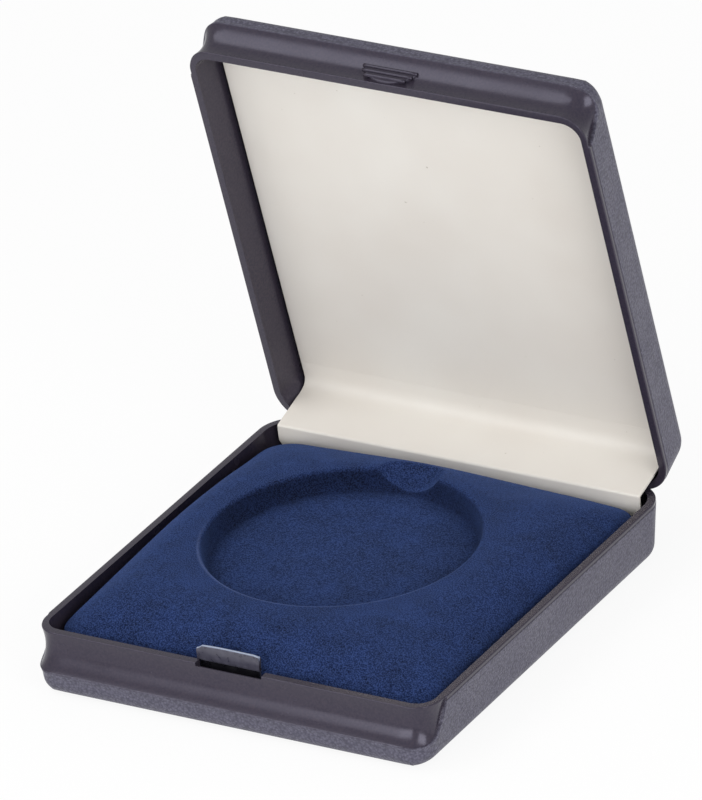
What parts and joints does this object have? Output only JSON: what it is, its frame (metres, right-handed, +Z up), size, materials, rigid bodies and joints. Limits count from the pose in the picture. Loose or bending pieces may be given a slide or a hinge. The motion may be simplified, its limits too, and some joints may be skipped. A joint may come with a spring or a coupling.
{
  "type": "medal presentation box",
  "caption": "Square hinged presentation box with a domed velvet pad, a round medal recess, a cream lid lining and a snap tongue.",
  "frame": {"origin": "centre of the base's flat underside, under the middle of the rim", "axes": "+Z up from the underside, -Y out of the front with the snap tongue, +X to the right"},
  "size_m": [0.098, 0.1176, 0.1173],
  "materials": {
    "shell_plastic": "moulded dark navy with leather grain, smooth on the hollow front",
    "tongue_plastic": "smooth grey-blue moulded plastic",
    "cream_lining": "smooth cream lining board",
    "pad_card": "plain grey card",
    "blue_velvet": "short-pile royal blue velvet",
    "hinge_steel": "plain bright steel"
  },
  "bodies": {
    "base": {"base_shell": "shell_plastic", "catch_tongue": "tongue_plastic", "hinge_cover": "cream_lining", "pad_board": "pad_card", "pad_cushion": "blue_velvet", "hinge_leaf_base": "hinge_steel", "hinge_pin": "hinge_steel", "torsion_spring": "hinge_steel", "base_rivet_1": "hinge_steel", "base_rivet_2": "hinge_steel", "base_rivet_3": "hinge_steel", "base_rivet_4": "hinge_steel"},
    "lid": {"lid_shell": "shell_plastic", "lid_panel": "cream_lining", "hinge_leaf_lid": "hinge_steel", "lid_rivet_1": "hinge_steel", "lid_rivet_2": "hinge_steel", "lid_rivet_3": "hinge_steel", "lid_rivet_4": "hinge_steel"}
  },
  "joints": [
    {"name": "lid_hinge", "type": "hinge", "parent": "base", "child": "lid", "pos_m": [0, 0.0508, 0.0126], "axis": [1, 0, 0], "range_deg": [0, 76.9], "deforming": ["hinge_cover", "torsion_spring"]}
  ]
}
